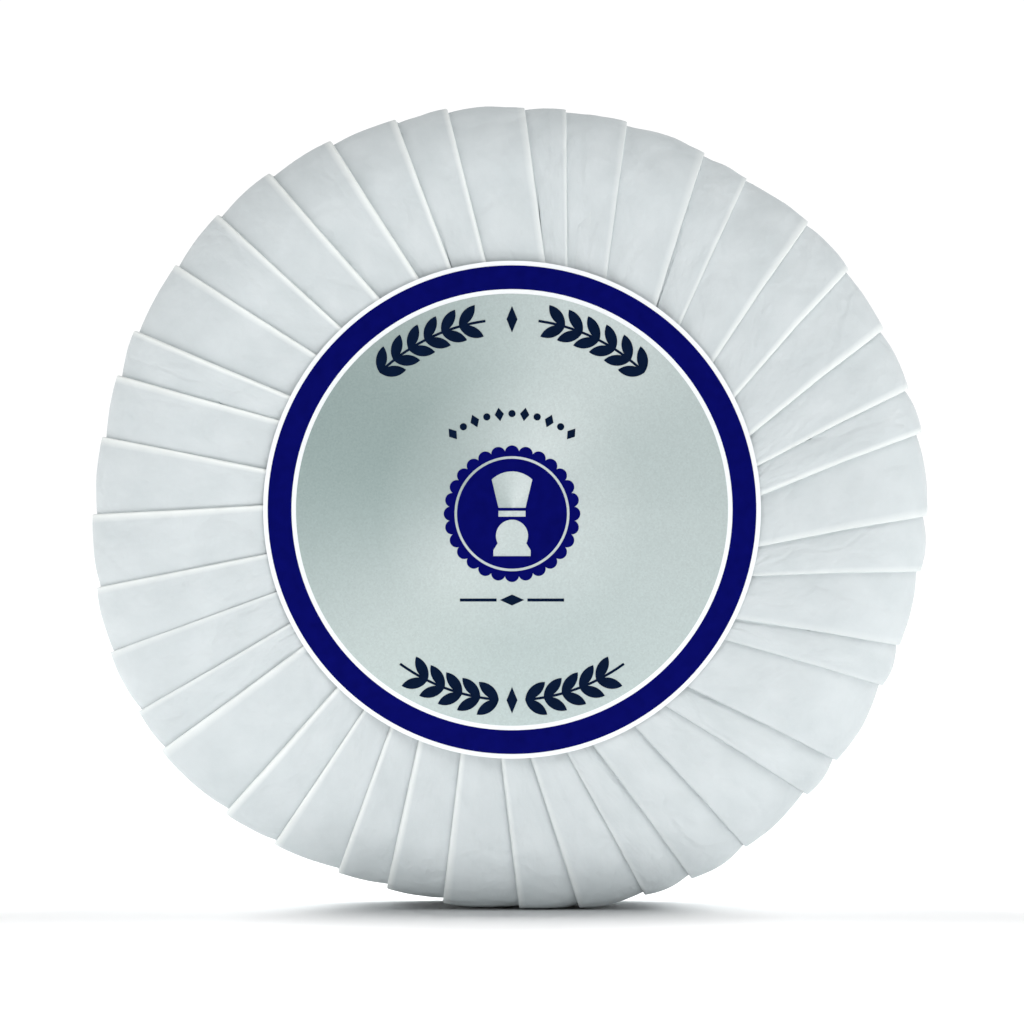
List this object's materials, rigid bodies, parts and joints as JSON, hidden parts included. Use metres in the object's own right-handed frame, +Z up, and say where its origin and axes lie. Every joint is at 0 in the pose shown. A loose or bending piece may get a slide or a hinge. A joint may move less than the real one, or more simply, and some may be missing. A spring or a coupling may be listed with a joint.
{
  "type": "shaving soap puck",
  "caption": "Round shaving soap puck wrapped in pleated tissue paper, with a round printed label that peels, standing on its rim.",
  "frame": {"origin": "on the floor, under the middle of the standing puck", "axes": "+Z up; the puck's round axis lies along Y, with the labelled face towards -Y and the plain back towards +Y"},
  "size_m": [0.0712, 0.0274, 0.0703],
  "materials": {
    "soap": "satin",
    "tissue_paper": "matte",
    "glue": "satin",
    "label_paper": "satin",
    "silver_ink": "satin",
    "navy_ink": "satin",
    "dark_ink": "satin"
  },
  "bodies": {
    "wrapped_soap": {"soap_puck": "soap", "wrapper": "tissue_paper"},
    "label": {"label_glue": "glue", "label_paper": "label_paper", "field_print": "silver_ink", "ring_print": "navy_ink", "seal_print": "navy_ink", "top_garland_print": "dark_ink", "bottom_garland_print": "dark_ink", "accent_print": "dark_ink"}
  },
  "joints": [
    {"name": "label_peel", "type": "hinge", "parent": "wrapped_soap", "child": "label", "pos_m": [0, -0.01574, 0.05625], "axis": [-1, 0, 0], "range_deg": [0, 130]}
  ]
}
